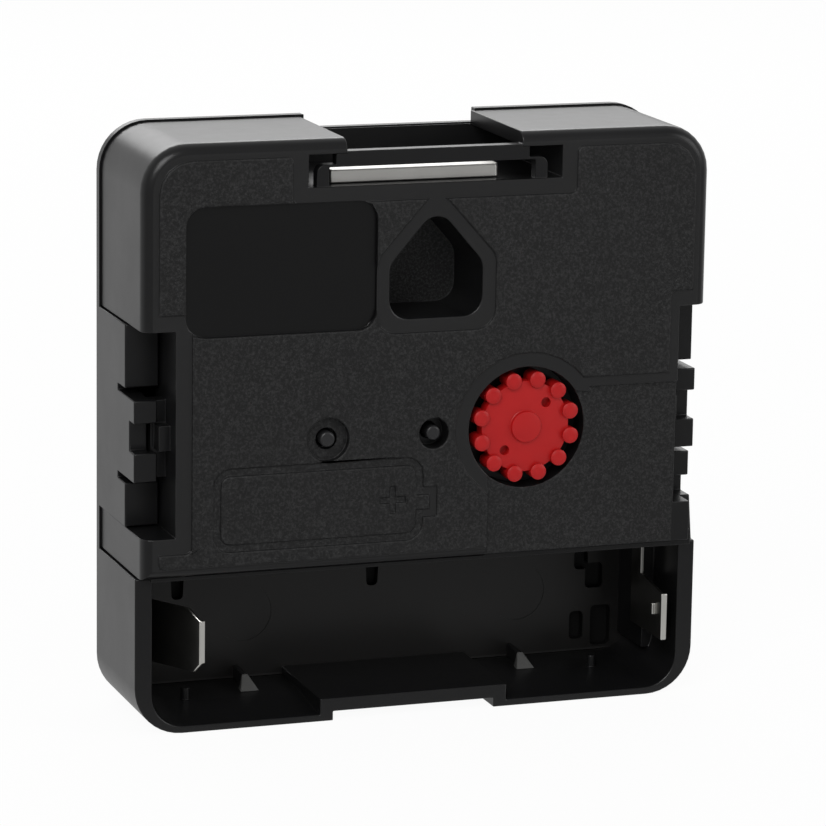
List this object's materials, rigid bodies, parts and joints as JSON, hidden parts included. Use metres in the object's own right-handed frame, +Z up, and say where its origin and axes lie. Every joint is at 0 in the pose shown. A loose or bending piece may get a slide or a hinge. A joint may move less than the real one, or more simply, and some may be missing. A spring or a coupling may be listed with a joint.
{
  "type": "quartz clock movement",
  "caption": "Square battery-driven quartz clock movement with clip-on rear cover, open battery bay, setting knob, hanging recess and threaded hand shaft.",
  "frame": {"origin": "on the ground plane below the middle of the bounding box, hand shafts included, with the movement standing on its battery bay", "axes": "+Z up, +Y out of the dial side along the hand shafts, -Y out of the rear cover, +X to the right as seen from behind"},
  "size_m": [0.056, 0.0296, 0.056],
  "materials": {
    "black_plastic": "satin black moulding, spark-eroded grain on the raised panels",
    "red_plastic": "satin red moulding",
    "gear_plastic": "natural white acetal",
    "dark_plastic": "black acetal of the seconds and third wheels",
    "bobbin_plastic": "satin blue moulding",
    "plated_steel": "nickel-plated spring strip",
    "steel": "bright drawn steel",
    "bush_brass": "turned brass",
    "magnet": "sintered magnet",
    "copper_wire": "enamelled copper wire",
    "board": "phenolic board",
    "resin": "black epoxy"
  },
  "bodies": {
    "case": {"front_case": "black_plastic", "rear_cover": "black_plastic", "hanger_strip": "plated_steel", "train_plate": "gear_plastic", "stator": "steel", "coil_core": "steel", "coil_bobbin": "bobbin_plastic", "coil_winding": "copper_wire", "circuit_board": "board", "chip_blob": "resin", "quartz_crystal": "plated_steel", "negative_lead": "plated_steel", "positive_contact": "plated_steel", "threaded_bush": "bush_brass"},
    "seconds": {"seconds_arbor": "steel", "seconds_wheel": "dark_plastic"},
    "intermediate": {"intermediate_wheel": "gear_plastic"},
    "rotor": {"rotor_pinion": "gear_plastic", "rotor_magnet": "magnet"},
    "third": {"third_wheel": "dark_plastic"},
    "centre": {"centre_wheel": "gear_plastic"},
    "setting": {"setting_knob": "red_plastic", "reverse_wheel": "gear_plastic"},
    "minute": {"minute_tube": "bush_brass"},
    "hour": {"hour_wheel": "gear_plastic"},
    "leaf": {"negative_contact": "plated_steel"}
  },
  "joints": [
    {"name": "seconds_spin", "type": "hinge", "parent": "case", "child": "seconds", "pos_m": [0.0004, 0, 0.0277], "axis": [0, 1, 0], "continuous": true},
    {"name": "intermediate_spin", "type": "hinge", "parent": "case", "child": "intermediate", "pos_m": [-0.00609, 0, 0.02221], "axis": [0, 1, 0], "continuous": true},
    {"name": "rotor_spin", "type": "hinge", "parent": "case", "child": "rotor", "pos_m": [-0.01269, 0, 0.02221], "axis": [0, 1, 0], "continuous": true},
    {"name": "third_spin", "type": "hinge", "parent": "case", "child": "third", "pos_m": [-0.01, 0, 0.0277], "axis": [0, 1, 0], "continuous": true},
    {"name": "centre_spin", "type": "hinge", "parent": "case", "child": "centre", "pos_m": [0.0004, 0, 0.0277], "axis": [0, 1, 0], "continuous": true},
    {"name": "setting_spin", "type": "hinge", "parent": "case", "child": "setting", "pos_m": [0.00975, 0, 0.0277], "axis": [0, 1, 0], "continuous": true},
    {"name": "minute_spin", "type": "hinge", "parent": "case", "child": "minute", "pos_m": [0.0004, 0, 0.0277], "axis": [0, 1, 0], "continuous": true},
    {"name": "hour_spin", "type": "hinge", "parent": "case", "child": "hour", "pos_m": [0.0004, 0, 0.0277], "axis": [0, 1, 0], "continuous": true},
    {"name": "leaf_spring", "type": "hinge", "parent": "case", "child": "leaf", "pos_m": [-0.02585, -0.00525, 0.009], "axis": [0, 0, 1], "range_deg": [-22, 0], "stiffness_Nm_per_rad": 0.03}
  ],
  "couplings": [
    {"joint": "intermediate_spin", "follows": "seconds_spin", "ratio": -7.5},
    {"joint": "rotor_spin", "follows": "seconds_spin", "ratio": 30},
    {"joint": "third_spin", "follows": "seconds_spin", "ratio": -0.066667},
    {"joint": "centre_spin", "follows": "seconds_spin", "ratio": 0.016667},
    {"joint": "minute_spin", "follows": "setting_spin", "ratio": -3},
    {"joint": "hour_spin", "follows": "setting_spin", "ratio": -0.25}
  ]
}
